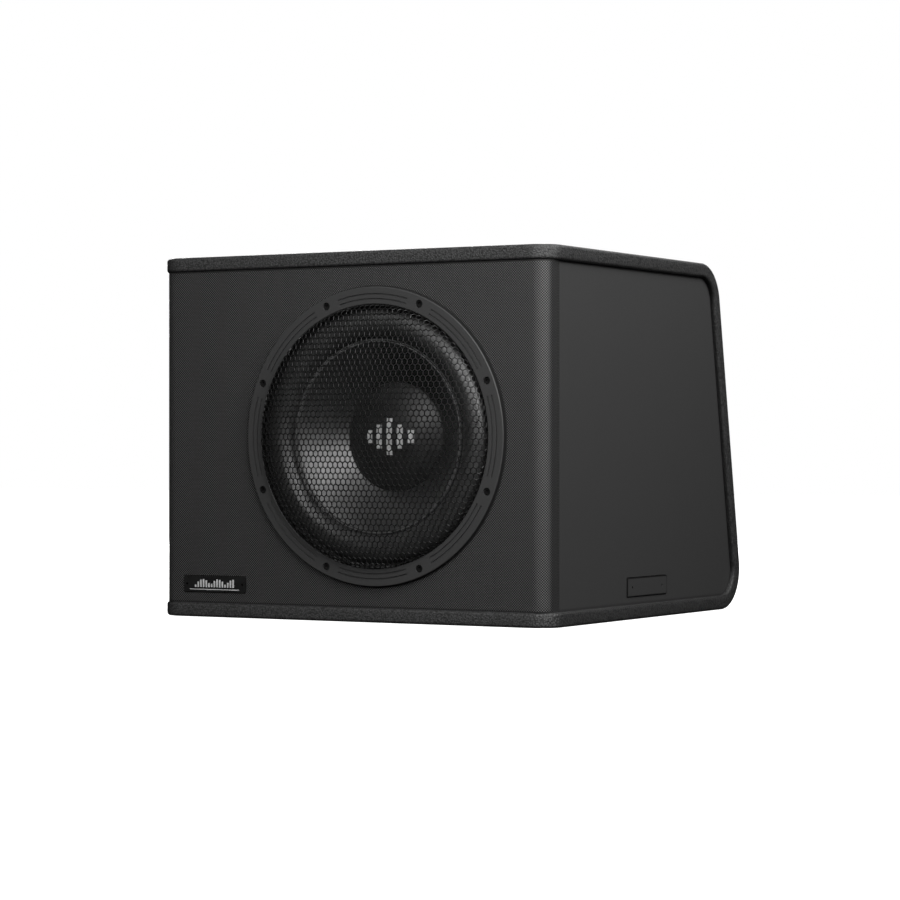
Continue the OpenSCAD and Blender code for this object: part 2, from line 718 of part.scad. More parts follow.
top_panel();
bottom_panel();
back_panel();
top_rear_corner();
bottom_rear_corner();
front_baffle();
left_side_panel();
right_side_panel();
baffle_wrap();
left_side_vinyl();
right_side_vinyl();
trim_ring();
grille_mesh();
driver_screws();
tee_nuts();
basket();
basket_gasket();
surround();
cone();
cone_trim_ring();
dust_cap();
voice_coil_former();
voice_coil();
spider();
top_plate();
magnet_rings();
back_plate_pole();
driver_terminals();
tinsel_leads();
speaker_wires();
front_badge_plate();
front_badge_mark();
side_blank_plate();
badge_pins();
amp_gasket();
amp_tray();
amp_screws();
amp_heatsink();
amp_rear_cover();
amp_circuit_board();
amp_capacitors();
amp_toroid();
amp_transistors();
potentiometers();
level_knob();
lowpass_knob();
bass_knob();
switch_bodies();
phase_switch();
turn_on_switch();
status_led();
terminal_block();
terminal_screws();
fuse_holder();
blade_fuses();
rca_housing();
rca_sleeves();
high_level_socket();
remote_socket();
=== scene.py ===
"""Looks of the powered car subwoofer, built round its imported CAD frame. Blender 4.5, metres, +Z up."""

import math

import bmesh
import bpy
import numpy as np
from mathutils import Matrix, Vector


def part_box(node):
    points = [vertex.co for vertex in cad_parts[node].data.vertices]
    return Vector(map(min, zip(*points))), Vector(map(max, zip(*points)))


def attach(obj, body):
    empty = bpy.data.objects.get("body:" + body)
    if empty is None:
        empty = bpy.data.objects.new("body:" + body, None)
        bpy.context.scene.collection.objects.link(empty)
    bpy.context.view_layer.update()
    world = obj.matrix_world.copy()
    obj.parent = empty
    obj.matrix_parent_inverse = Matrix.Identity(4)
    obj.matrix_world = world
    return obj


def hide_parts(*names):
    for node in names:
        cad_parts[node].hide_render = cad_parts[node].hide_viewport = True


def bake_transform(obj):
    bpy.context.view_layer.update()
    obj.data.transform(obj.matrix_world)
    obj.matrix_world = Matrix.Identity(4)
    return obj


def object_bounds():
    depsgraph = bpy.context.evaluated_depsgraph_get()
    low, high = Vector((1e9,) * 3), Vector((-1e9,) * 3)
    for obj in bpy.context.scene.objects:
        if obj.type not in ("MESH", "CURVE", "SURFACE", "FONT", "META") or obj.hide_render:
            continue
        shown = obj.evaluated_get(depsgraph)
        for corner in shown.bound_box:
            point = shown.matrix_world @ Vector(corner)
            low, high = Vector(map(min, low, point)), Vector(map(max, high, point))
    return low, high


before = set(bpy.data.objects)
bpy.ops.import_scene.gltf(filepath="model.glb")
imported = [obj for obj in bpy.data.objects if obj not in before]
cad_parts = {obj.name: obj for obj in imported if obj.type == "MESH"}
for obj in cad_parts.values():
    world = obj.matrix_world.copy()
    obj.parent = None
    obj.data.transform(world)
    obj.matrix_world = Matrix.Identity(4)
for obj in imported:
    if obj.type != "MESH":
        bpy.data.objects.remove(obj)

MM = 0.001
CAD_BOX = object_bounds()
TAU = 2 * math.pi


def middle(node):
    """Centre of a CAD node's box."""
    low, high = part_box(node)
    return (low + high) / 2


FRONT_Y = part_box("top_panel")[0].y  # the frame's front edge, from which depths are measured
DRIVER = middle("trim_ring")
RING_R = 161 * MM  # outer radius of the trim ring
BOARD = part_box("bottom_panel")[1].z  # thickness of the frame's boards
WRAP_R = 17 * MM  # radius of the front covering's corners, seen from above
REAR_ROUND = 47 * MM  # radius of the frame's rear corners, seen from the side
SLANT = math.atan(0.18)  # how far the back leans forward
REAR_LOW = Vector((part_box("bottom_panel")[1].y, REAR_ROUND))  # centres of those corners, as (y, z)
REAR_HIGH = Vector((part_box("top_panel")[1].y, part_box("top_panel")[1].z - REAR_ROUND))


# ---------------------------------------------------------------- meshes

def piece(name, points, faces, material, smooth=True):
    """A new object from points in metres, in the row frame."""
    mesh = bpy.data.meshes.new(name)
    mesh.from_pydata([tuple(p) for p in points], [], [tuple(f) for f in faces])
    mesh.validate()
    made = bmesh.new()
    made.from_mesh(mesh)
    bmesh.ops.remove_doubles(made, verts=made.verts, dist=1e-7)
    bmesh.ops.recalc_face_normals(made, faces=made.faces)
    made.to_mesh(mesh)
    made.free()
    mesh.polygons.foreach_set("use_smooth", [smooth] * len(mesh.polygons))
    mesh.materials.append(material)
    ob = bpy.data.objects.new(name, mesh)
    bpy.context.scene.collection.objects.link(ob)
    return ob


def settle(ob, body, replaces=()):
    """Says what a piece moves with and which CAD nodes it stands for, and hides those."""
    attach(ob, body)
    if replaces:
        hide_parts(*replaces)
    return ob


def keep_sharp(ob, degrees=35):
    """Smooth shading that breaks at corners sharper than this."""
    bpy.context.view_layer.objects.active = ob
    for other in bpy.context.selected_objects:
        other.select_set(False)
    ob.select_set(True)
    bpy.ops.object.shade_smooth_by_angle(angle=math.radians(degrees))


def driver_point(radius, depth, angle):
    """A point round the driver's axis: radius and depth in mm, and an angle from +X towards +Z."""
    return Vector((
        DRIVER.x + radius * MM * math.cos(angle),
        FRONT_Y + depth * MM,
        DRIVER.z + radius * MM * math.sin(angle),
    ))


def revolve(name, profile, material, segments=192, closed=True):
    """Turns a profile of (radius, depth) in mm round the driver's axis."""
    count = len(profile)
    points = [driver_point(r, d, TAU * i / segments) for i in range(segments) for r, d in profile]
    faces = []
    for i in range(segments):
        j = (i + 1) % segments
        for k in range(count if closed else count - 1):
            m = (k + 1) % count
            faces.append((i * count + k, j * count + k, j * count + m, i * count + m))
    return piece(name, points, faces, material)


def arc(centre, radius, start, end, steps):
    """Points of an arc in a profile, with angles in degrees."""
    out = []
    for i in range(steps + 1):
        a = math.radians(start + (end - start) * i / steps)
        out.append((centre[0] + radius * math.cos(a), centre[1] + radius * math.sin(a)))
    return out


def bezier(p, steps):
    """Points of a cubic curve with these four control points."""
    out = []
    for i in range(steps + 1):
        t = i / steps
        s = 1 - t
        weights = (s ** 3, 3 * s * s * t, 3 * s * t * t, t ** 3)
        out.append(tuple(sum(w * q[k] for w, q in zip(weights, p)) for k in range(len(p[0]))))
    return out


def soften(node, width, degrees=35):
    """Rounds a CAD node's sharp edges with modifiers, which leave its own mesh alone."""
    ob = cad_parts[node]
    weld = ob.modifiers.new("weld", "WELD")
    weld.merge_threshold = 1e-6
    bevel = ob.modifiers.new("edge", "BEVEL")
    bevel.width = width * MM
    bevel.segments = 2
    bevel.limit_method = "ANGLE"
    bevel.angle_limit = math.radians(degrees)
    bevel.harden_normals = True


# ---------------------------------------------------------------- materials

class Finish:
    """A Principled material with short calls for its pattern nodes."""

    def __init__(self, name, colour, roughness, **sockets):
        self.material = bpy.data.materials.new(name)
        self.material.use_nodes = True
        self.tree = self.material.node_tree
        self.shader = self.tree.nodes["Principled BSDF"]
        self.shader.inputs["Base Color"].default_value = (*colour, 1)
        self.shader.inputs["Roughness"].default_value = roughness
        for socket, value in sockets.items():
            self.shader.inputs[socket.replace("_", " ")].default_value = value
        self.coordinates = self.node("ShaderNodeTexCoord").outputs["Object"]

    def node(self, kind, **values):
        made = self.tree.nodes.new(kind)
        for key, value in values.items():
            if key in made.inputs:
                made.inputs[key].default_value = value
            else:
                setattr(made, key, value)
        return made

    def link(self, a, b):
        self.tree.links.new(a, b)

    def axes(self):
        """The object's own x, y and z."""
        made = self.node("ShaderNodeSeparateXYZ")
        self.link(self.coordinates, made.inputs[0])
        return made.outputs

    def math(self, operation, *inputs):
        made = self.node("ShaderNodeMath", operation=operation)
        for socket, value in zip(made.inputs, inputs):
            if isinstance(value, (int, float)):
                socket.default_value = value
            else:
                self.link(value, socket)
        return made.outputs[0]

    def noise(self, size, detail=3.0, where=None):
        """Soft noise with features of this size in mm."""
        made = self.node("ShaderNodeTexNoise", Scale=1 / (size * MM), Detail=detail)
        self.link(where or self.coordinates, made.inputs["Vector"])
        return made.outputs["Fac"]

    def pebbles(self, size, smooth=0.6):
        """Rounded cells of this size in mm."""
        made = self.node("ShaderNodeTexVoronoi", feature="SMOOTH_F1", Smoothness=smooth)
        made.inputs["Scale"].default_value = 1 / (size * MM)
        self.link(self.coordinates, made.inputs["Vector"])
        return made.outputs["Distance"]

    def spread(self, value, low, high, at_low=0.0, at_high=1.0):
        made = self.node("ShaderNodeMapRange")
        self.link(value, made.inputs["Value"])
        made.inputs["From Min"].default_value = at_low
        made.inputs["From Max"].default_value = at_high
        made.inputs["To Min"].default_value = low
        made.inputs["To Max"].default_value = high
        return made.outputs["Result"]

    def colours(self, value, dark, light, at_dark=0.35, at_light=0.65):
        """Colour that runs from dark to light with a value."""
        made = self.node("ShaderNodeValToRGB")
        made.color_ramp.elements[0].position = at_dark
        made.color_ramp.elements[1].position = at_light
        made.color_ramp.elements[0].color = (*dark, 1)
        made.color_ramp.elements[1].color = (*light, 1)
        self.link(value, made.inputs["Fac"])
        self.link(made.outputs["Color"], self.shader.inputs["Base Color"])

    def roughness(self, value, low, high):
        self.link(self.spread(value, low, high, 0.3, 0.7), self.shader.inputs["Roughness"])

    def bump(self, height, depth, strength=1.0, under=None):
        """Relief of this depth in mm."""
        made = self.node("ShaderNodeBump", Strength=strength, Distance=depth * MM)
        self.link(height, made.inputs["Height"])
        if under is not None:
            self.link(under, made.inputs["Normal"])
        self.link(made.outputs["Normal"], self.shader.inputs["Normal"])
        return made.outputs["Normal"]


def grey(value):
    return (value, value, value)


def from_board(finish):
    """How far a point lies inside the frame's boards: 0 on their inner faces, minus towards the middle.

    It is the distance from the outline through the rear corners' centres, with level as the distance above
    or below that outline and behind as the distance beyond its slanted side."""
    axes = finish.axes()
    y, z = axes["Y"], axes["Z"]
    above = finish.math("MAXIMUM", finish.math("SUBTRACT", z, REAR_HIGH.y), 0.0)
    below = finish.math("MAXIMUM", finish.math("SUBTRACT", REAR_LOW.y, z), 0.0)
    level = finish.math("ADD", above, below)
    turned = finish.math("MULTIPLY", y, math.cos(SLANT))
    slanted = finish.math("ADD", turned, finish.math("MULTIPLY", z, math.sin(SLANT)))
    start = REAR_LOW.x * math.cos(SLANT) + REAR_LOW.y * math.sin(SLANT)
    behind = finish.math("MAXIMUM", finish.math("SUBTRACT", slanted, start), 0.0)
    skew = finish.math("MULTIPLY", behind, finish.math("SUBTRACT", above, below))
    squares = finish.math("ADD", finish.math("POWER", level, 2.0), finish.math("POWER", behind, 2.0))
    oblique = finish.math("SUBTRACT", squares, finish.math("MULTIPLY", skew, 2 * math.sin(SLANT)))
    beyond = finish.math("SQRT", finish.math("DIVIDE", oblique, math.cos(SLANT) ** 2))
    return finish.math("SUBTRACT", beyond, REAR_ROUND - BOARD)


def painted_crease_shade(finish, dark, clear):
    """Painted shade: 0 where a surface meets the frame, 1 clear of it; at the bottom painted light from
    above lifts that painted shade about half way.
    """
    z = finish.axes()["Z"]
    # painted light: near the bottom the painted shade is kept at least 0.65 light
    bottom_shade_lift = finish.spread(z, 0.65, 0.0, BOARD + 4 * MM, REAR_ROUND)
    return finish.math("MAXIMUM", finish.spread(from_board(finish), 0.0, 1.0, dark, clear), bottom_shade_lift)


def pebbled_vinyl():
    """Pebbled vinyl, with painted shade on the edges that face sideways and darker painted shade where it
    meets the side panels.
    """
    finish = Finish("pebbled_vinyl", grey(0.02), 0.5)
    cells = finish.pebbles(1.7)
    fine = finish.noise(0.7, 4)
    finish.bump(fine, 0.1, 0.6, under=finish.bump(cells, 0.6, 0.9))
    outward = finish.math("ABSOLUTE", finish.axes()["X"])
    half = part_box("top_panel")[1].x
    # painted shade: the edges that face sideways are painted darker, as little light falls on them
    painted_side_shade = finish.spread(outward, 1.0, 0.65, half - 3 * MM, half - 0.5 * MM)
    # painted shade where the vinyl meets the side panels, times the painted side shade
    shade = finish.math("MULTIPLY", painted_crease_shade(finish, 0.3 * MM, 2.8 * MM), painted_side_shade)
    light = finish.math("MULTIPLY", finish.spread(cells, 1.0, 0.26, 0.1, 0.7), shade)
    finish.colours(light, grey(0.0), grey(0.10), 0.0, 1.0)
    finish.roughness(fine, 0.42, 0.58)
    return finish.material


def painted_edge_shade(finish, along):
    """Painted shade: 1 on the covering's open face; less at the side seams, with painted shadow under the
    frame and round the ring.
    """
    low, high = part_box("baffle_wrap")
    axes = finish.axes()
    x, z = axes["X"], axes["Z"]
    # painted shade where the covering turns towards the side seam
    seam = finish.spread(along, 1.0, 0.25, high.x, high.x + 5 * MM)
    from_middle = finish.math("ABSOLUTE", finish.math("SUBTRACT", z, (low.z + high.z) / 2))
    from_edge = finish.math("SUBTRACT", (high.z - low.z) / 2, from_middle)
    # painted shadow along the top and bottom edges, under the frame's bands
    edge = finish.spread(from_edge, 0.0, 1.0, 0.6 * MM, 2.2 * MM)
    right = finish.math("POWER", finish.math("SUBTRACT", x, DRIVER.x), 2.0)
    above = finish.math("POWER", finish.math("SUBTRACT", z, DRIVER.z), 2.0)
    from_driver = finish.math("SQRT", finish.math("ADD", right, above))
    # painted shadow round the trim ring's outside
    ring_shadow = finish.spread(from_driver, 0.0, 1.0, RING_R + 0.5 * MM, RING_R + 2 * MM)
    return finish.math("MULTIPLY", seam, finish.math("MULTIPLY", edge, ring_shadow))


def woven_vinyl():
    """A plain weave that runs over the front and round both front corners by arc length."""
    finish = Finish("woven_vinyl", grey(0.02), 0.55, Specular_IOR_Level=1.0)
    low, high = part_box("baffle_wrap")
    thread = 1.4 * MM
    x, y, z = finish.axes()
    outward = finish.math("ABSOLUTE", x)
    flat = high.x - WRAP_R
    side = finish.math("MAXIMUM", finish.math("SUBTRACT", outward, flat), 0.0)
    back = finish.math("MAXIMUM", finish.math("SUBTRACT", low.y + WRAP_R, y), 0.01 * MM)
    turn = finish.math("MULTIPLY", finish.math("ARCTAN2", side, back), WRAP_R)
    front = finish.math("MINIMUM", outward, flat)
    straight = finish.math("MAXIMUM", finish.math("SUBTRACT", y, low.y + WRAP_R), 0.0)
    along = finish.math("ADD", turn, finish.math("ADD", front, straight))
    across = finish.math("SINE", finish.math("MULTIPLY", along, math.pi / thread))
    across = finish.math("MULTIPLY", across, finish.math("SIGN", x))  # so that it doesn't mirror at x = 0
    up = finish.math("SINE", finish.math("MULTIPLY", z, math.pi / thread))
    weave = finish.spread(finish.math("MULTIPLY", across, up), 0, 1, -0.1, 0.6)
    finish.bump(weave, 0.2, 0.5)
    # the weave's pattern times painted shade at the seams, under the frame and round the ring
    shade = finish.math("MULTIPLY", weave, painted_edge_shade(finish, along))
    finish.colours(shade, grey(0.0), grey(0.125), 0.3, 0.9)
    finish.link(finish.spread(shade, 0.95, 0.3, 0.0, 0.3), finish.shader.inputs["Roughness"])
    return finish.material


def smooth_vinyl():
    """Smooth vinyl with painted shade in the last millimetres before it meets the frame round it."""
    finish = Finish("smooth_vinyl", grey(0.024), 0.5)
    grain = finish.noise(0.9, 5)
    broad = finish.noise(60, 2)
    finish.bump(grain, 0.06, 0.5)
    # painted shade near the frame, times a broad random tone
    shade = finish.math("MULTIPLY", painted_crease_shade(finish, -0.5 * MM, -2.4 * MM), finish.spread(broad, 0.96, 1.0))
    finish.colours(shade, grey(0.002), grey(0.047), 0, 1)
    finish.roughness(grain, 0.48, 0.56)
    return finish.material


def side_plate():
    """The side panel's plate: its own plain plastic, with painted shade along its edges."""
    finish = Finish("side_plate_plastic", grey(0.05), 0.5)
    fine = finish.noise(0.5, 4)
    finish.bump(fine, 0.02, 0.5)
    low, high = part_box("side_blank_plate")
    axes = finish.axes()
    inside = []
    for value, near, far in ((axes["Y"], low.y, high.y), (axes["Z"], low.z, high.z)):
        away = finish.math("ABSOLUTE", finish.math("SUBTRACT", value, (near + far) / 2))
        inside.append(finish.math("SUBTRACT", (far - near) / 2, away))
    # painted shade: darker within about a millimetre of the plate's edges
    light = finish.spread(finish.math("MINIMUM", *inside), 0.0, 1.0, 0.5 * MM, 1.3 * MM)
    finish.colours(light, grey(0.003), grey(0.046), 0.0, 1.0)
    finish.roughness(fine, 0.46, 0.54)
    return finish.material


def moulded(name, colour, roughness, grain=0.5, depth=0.03, **sockets):
    """Moulded plastic or painted metal with a fine texture and small changes of gloss."""
    finish = Finish(name, colour, roughness, **sockets)
    fine = finish.noise(grain, 4)
    broad = finish.noise(grain * 30, 2)
    finish.bump(fine, depth, 0.5)
    finish.colours(broad, [c * 0.88 for c in colour], [min(1, c * 1.12) for c in colour])
    finish.roughness(broad, roughness - 0.05, roughness + 0.06)
    return finish.material


def brushed(name, colour, roughness=0.35):
    """Metal with fine lines along x."""
    finish = Finish(name, colour, roughness, Metallic=1.0)
    stretch = finish.node("ShaderNodeMapping")
    stretch.inputs["Scale"].default_value = (0.04, 1, 1)
    finish.link(finish.coordinates, stretch.inputs["Vector"])
    lines = finish.noise(0.35, 4, where=stretch.outputs["Vector"])
    finish.bump(lines, 0.02, 0.5)
    finish.colours(lines, [c * 0.85 for c in colour], colour)
    finish.roughness(lines, roughness - 0.08, roughness + 0.1)
    return finish.material


def cone_paper():
    finish = Finish("cone_paper", grey(0.03), 0.4, Specular_IOR_Level=1.0, IOR=1.8)
    fibre = finish.noise(0.8, 5)
    broad = finish.noise(25, 2)
    finish.bump(fibre, 0.08, 0.6)
    finish.colours(broad, grey(0.027), grey(0.033))
    finish.roughness(fibre, 0.35, 0.43)
    return finish.material


def board():
    finish = Finish("stained_fibreboard", grey(0.012), 0.85)
    fibre = finish.noise(1.2, 5)
    finish.bump(fibre, 0.1, 0.6)
    finish.colours(fibre, (0.009, 0.008, 0.007), (0.018, 0.015, 0.013))
    finish.roughness(fibre, 0.75, 0.92)
    return finish.material


def spider_cloth():
    finish = Finish("spider_cloth", (0.45, 0.3, 0.1), 0.8)
    threads = finish.noise(0.6, 3)
    finish.bump(threads, 0.15, 0.8)
    finish.colours(threads, (0.36, 0.23, 0.07), (0.52, 0.37, 0.15))
    finish.roughness(threads, 0.7, 0.85)
    return finish.material


def ring_plastic():
    """Moulded plastic on the ring's face, and a matt wall round its outside with painted shade, near black.
    """
    finish = Finish("ring_plastic", grey(0.06), 0.42)
    centre = finish.node("ShaderNodeVectorMath", operation="SUBTRACT")
    finish.link(finish.coordinates, centre.inputs[0])
    centre.inputs[1].default_value = DRIVER
    axes = finish.node("ShaderNodeSeparateXYZ")
    finish.link(centre.outputs[0], axes.inputs[0])
    x, z = axes.outputs["X"], axes.outputs["Z"]
    squares = finish.math("ADD", finish.math("POWER", x, 2.0), finish.math("POWER", z, 2.0))
    radius = finish.math("SQRT", squares)
    # painted shade: the outer wall is painted near black
    wall = finish.spread(radius, 0, 1, RING_R - 0.4 * MM, RING_R - 0.1 * MM)
    finish.colours(wall, grey(0.06), grey(0.002), 0.0, 1.0)
    fine = finish.noise(0.4, 4)
    finish.bump(fine, 0.02, 0.5)
    finish.link(finish.spread(wall, 0.42, 0.9), finish.shader.inputs["Roughness"])
    return finish.material


MATERIALS = {
    "frame": pebbled_vinyl(),
    "weave": woven_vinyl(),
    "side": smooth_vinyl(),
    "side_plate": side_plate(),
    "board": board(),
    "ring": ring_plastic(),
    "grille": moulded("grille_paint", grey(0.010), 0.26, 0.4, 0.01),
    "screw": moulded("black_oxide", grey(0.008), 0.35, 0.3, 0.02),
    "pin": moulded("pin_black", grey(0.002), 0.8, 0.3, 0.02, Specular_IOR_Level=0.1),
    "steel": brushed("zinc_steel", (0.6, 0.6, 0.58)),
    "cast": moulded("cast_basket", grey(0.03), 0.6, 1.5, 0.12),
    "foam": moulded("gasket_foam", grey(0.02), 0.9, 0.8, 0.2),
    "rubber": moulded("surround_rubber", grey(0.048), 0.38, 0.5, 0.02, Specular_IOR_Level=1.0, IOR=1.6),
    "cap": moulded("dust_cap_plastic", grey(0.028), 0.4, 0.5, 0.02, Specular_IOR_Level=0.8),
    "cone": cone_paper(),
    "cone_ring": moulded("cone_ring", grey(0.13), 0.35, 0.4, 0.02),
    "mark": moulded("silver_mark", grey(0.75), 0.4, 0.3, 0.01),
    "copper": brushed("coil_wire", (0.6, 0.3, 0.15)),
    "former": brushed("coil_former", (0.6, 0.5, 0.4)),
    "spider": spider_cloth(),
    "ferrite": moulded("ferrite", grey(0.05), 0.6, 0.6, 0.06),
    "grey": moulded("plain_plastic", grey(0.07), 0.5, 0.5, 0.03),
    "jacket": moulded("wire_jacket", grey(0.02), 0.5, 0.5, 0.03),
    "plate": moulded("badge_black", grey(0.016), 0.3, 0.4, 0.015),
    "amp": moulded("amp_black", grey(0.022), 0.45, 0.35, 0.04),
    "circuit": moulded("circuit_green", (0.02, 0.12, 0.05), 0.35, 2.0, 0.03),
    "part": moulded("component_black", (0.03, 0.03, 0.045), 0.35, 0.5, 0.02),
    "knob": moulded("knob_black", grey(0.02), 0.45, 0.35, 0.02),
    "slider": moulded("switch_grey", grey(0.5), 0.45, 0.35, 0.02),
    "led": moulded("led_lens", (0.1, 0.3, 0.8), 0.12, 0.5, 0.0, Transmission_Weight=0.4),
    "socket": moulded("socket_black", grey(0.018), 0.35, 0.4, 0.02),
    "fuse": moulded("fuse_orange", (0.8, 0.25, 0.02), 0.2, 0.5, 0.01),
    "nickel": brushed("nickel", (0.78, 0.78, 0.74), 0.22),
    "print": moulded("white_print", grey(0.6), 0.6, 0.3, 0.01),
}

# CAD nodes that keep their own mesh, under the material that they get
KEPT = {
    "weave": ["baffle_wrap"],
    "side": ["left_side_vinyl", "right_side_vinyl"],
    "side_plate": ["side_blank_plate"],
    "board": ["front_baffle", "left_side_panel", "right_side_panel"],
    "ring": ["trim_ring"],
    "screw": ["driver_screws", "amp_screws"],
    "pin": ["badge_pins"],
    "steel": ["tee_nuts", "top_plate", "back_plate_pole", "terminal_screws", "amp_rear_cover",
              "potentiometers"],
    "cast": ["basket"],
    "foam": ["basket_gasket", "amp_gasket"],
    "former": ["voice_coil_former"],
    "copper": ["voice_coil", "amp_toroid"],
    "ferrite": ["magnet_rings"],
    "grey": ["driver_terminals", "switch_bodies", "fuse_holder", "high_level_socket"],
    "jacket": ["speaker_wires"],
    "plate": ["front_badge_plate"],
    "mark": ["front_badge_mark"],
    "amp": ["amp_tray", "amp_heatsink"],
    "circuit": ["amp_circuit_board"],
    "part": ["amp_capacitors", "amp_transistors"],
    "knob": ["level_knob", "lowpass_knob", "bass_knob"],
    "slider": ["phase_switch", "turn_on_switch"],
    "led": ["status_led"],
    "socket": ["terminal_block", "rca_housing", "remote_socket"],
    "fuse": ["blade_fuses"],
    "nickel": ["rca_sleeves"],
}
for key, names in KEPT.items():
    for name in names:
        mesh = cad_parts[name].data
        mesh.materials.clear()
        mesh.materials.append(MATERIALS[key])

# Widths in mm of the rounding on small parts' edges
for node, width in {
    "front_badge_plate": 0.3, "side_blank_plate": 0.3, "front_badge_mark": 0.08, "amp_tray": 0.5,
    "amp_heatsink": 0.3, "terminal_block": 0.5, "fuse_holder": 0.4, "blade_fuses": 0.5, "rca_housing": 0.4,
    "high_level_socket": 0.4, "remote_socket": 0.4, "switch_bodies": 0.25, "phase_switch": 0.3,
    "turn_on_switch": 0.3, "level_knob": 0.25, "lowpass_knob": 0.25, "bass_knob": 0.25,
}.items():
    soften(node, width)


# ---------------------------------------------------------------- camera

CAMERA_AZIMUTH = math.radians(30)
CAMERA_DISTANCE = 3.0537
AIM = Vector((0.1287, FRONT_Y, 0.1855))

camera = bpy.data.objects.new("camera", bpy.data.cameras.new("camera"))
camera.data.lens = 115.6
camera.data.sensor_width = 36
camera.data.clip_end = 50
toward = Vector((-math.sin(CAMERA_AZIMUTH), math.cos(CAMERA_AZIMUTH), 0))
camera.location = AIM - toward * CAMERA_DISTANCE
camera.rotation_euler = (math.pi / 2, 0, CAMERA_AZIMUTH)
bpy.context.scene.collection.objects.link(camera)
bpy.context.scene.camera = camera


# ---------------------------------------------------------------- cabinet

def frame_wrap():
    """The top, back and bottom boards as one band wrapped in vinyl, with rounded corners and soft edges.

    The band is laid out flat as a rectangle with round corners, and its path then bends it. Every
    point's thickness falls away near that outline by its distance to it."""
    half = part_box("top_panel")[1].x
    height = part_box("top_panel")[1].z
    corner = 27 * MM
    soft = 3.5 * MM

    path = []  # (y, z, outward y, outward z, distance from the nearer front edge)
    turn = [corner * (1 - math.cos(math.pi / 2 * i / 22)) for i in range(23)]
    first = turn + [corner + (REAR_LOW.x - FRONT_Y - corner) * i / 18 for i in range(1, 19)]
    for s in first:
        path.append((FRONT_Y + s, 0.0, 0.0, -1.0, s))

    def rear_arc(centre, start, end, steps):
        """A rear corner, after its start point; 1.0 is a distance far from every front edge."""
        for i in range(1, steps + 1):
            a = start + (end - start) * i / steps
            y, z = math.cos(a), math.sin(a)
            path.append((centre.x + REAR_ROUND * y, centre.y + REAR_ROUND * z, y, z, 1.0))

    rear_arc(REAR_LOW, -math.pi / 2, SLANT, 28)
    out = Vector((math.cos(SLANT), math.sin(SLANT)))
    for i in range(1, 13):
        c = REAR_LOW.lerp(REAR_HIGH, i / 12) + REAR_ROUND * out
        path.append((c.x, c.y, out.x, out.y, 1.0))
    rear_arc(REAR_HIGH, SLANT, math.pi / 2, 24)
    last = turn + [corner + (REAR_HIGH.x - FRONT_Y - corner) * i / 15 for i in range(1, 15)]
    for s in reversed(last):
        path.append((FRONT_Y + s, height, 0.0, 1.0, s))

    edge = [soft * (1 - math.cos(math.pi / 2 * i / 5)) for i in range(6)] + [9 * MM, corner]
    inner = 12
    points, rows = [], []
    for y, z, ny, nz, s in path:
        t = min(s, corner)
        width = half - corner + math.sqrt(max(0.0, corner ** 2 - (corner - t) ** 2))
        xs = [width - e for e in edge]
        core = xs[-1]
        xs += [core - 2 * core * i / inner for i in range(1, inner)]
        xs += [-(width - e) for e in reversed(edge)]
        row = []
        for x in xs:
            if s < corner and abs(x) > half - corner:
                d = corner - math.hypot(corner - s, abs(x) - (half - corner))
            else:
                d = min(s, half - abs(x))
            d = max(0.0, d)
            drop = soft - math.sqrt(max(0.0, soft ** 2 - (soft - min(d, soft)) ** 2))
            row.append((len(points), len(points) + 1))
            points.append((x, y - ny * drop, z - nz * drop))
            points.append((x, y - ny * (BOARD - drop), z - nz * (BOARD - drop)))
        rows.append(row)
    faces = []
    for a, b in zip(rows, rows[1:]):
        for k in range(len(a) - 1):
            faces.append((a[k][0], a[k + 1][0], b[k + 1][0], b[k][0]))
            faces.append((a[k][1], b[k][1], b[k + 1][1], a[k + 1][1]))
        faces.append((a[0][0], b[0][0], b[0][1], a[0][1]))
        faces.append((a[-1][0], a[-1][1], b[-1][1], b[-1][0]))
    for row in (rows[0], rows[-1]):
        for k in range(len(row) - 1):
            faces.append((row[k][0], row[k][1], row[k + 1][1], row[k + 1][0]))
    band = piece("frame_wrap", points, faces, MATERIALS["frame"])
    settle(band, "cabinet",
           ["top_panel", "bottom_panel", "back_panel", "top_rear_corner", "bottom_rear_corner"])


frame_wrap()


# ---------------------------------------------------------------- driver

# The grille's dome, in mm from the driver's axis and from the frame's front edge
CAP_R = 700.0  # radius of its broad middle
RISE = 23.0  # how far it stands out
SHOULDER = 7.0  # radius of its rounded rim
WALL_R = 141.6
LIP_DEPTH = 1.1
LIP_R = 147.4
SHEET = 1.2  # thickness of the band and the lip
BAND = 2.2  # how far the band reaches in front of the lip
EDGE_R = WALL_R - SHOULDER
EDGE_DEPTH = CAP_R - RISE - math.sqrt((CAP_R - SHOULDER) ** 2 - EDGE_R ** 2)
TILT = math.asin(EDGE_R / (CAP_R - SHOULDER))
CAP_ARC = CAP_R * TILT
SHOULDER_ARC = SHOULDER * (math.pi / 2 - TILT)
GRILLE_ARC = CAP_ARC + SHOULDER_ARC + LIP_DEPTH - EDGE_DEPTH


def grille_profile(s):
    """Radius, depth, and the outward normal of the dome, s mm along it from the apex."""
    if s <= CAP_ARC:
        a = s / CAP_R
        return CAP_R * math.sin(a), CAP_R - RISE - CAP_R * math.cos(a), math.sin(a), -math.cos(a)
    if s <= CAP_ARC + SHOULDER_ARC:
        a = TILT + (s - CAP_ARC) / SHOULDER
        radius = EDGE_R + SHOULDER * math.sin(a)
        return radius, EDGE_DEPTH - SHOULDER * math.cos(a), math.sin(a), -math.cos(a)
    return WALL_R, EDGE_DEPTH + s - CAP_ARC - SHOULDER_ARC, 1.0, 0.0


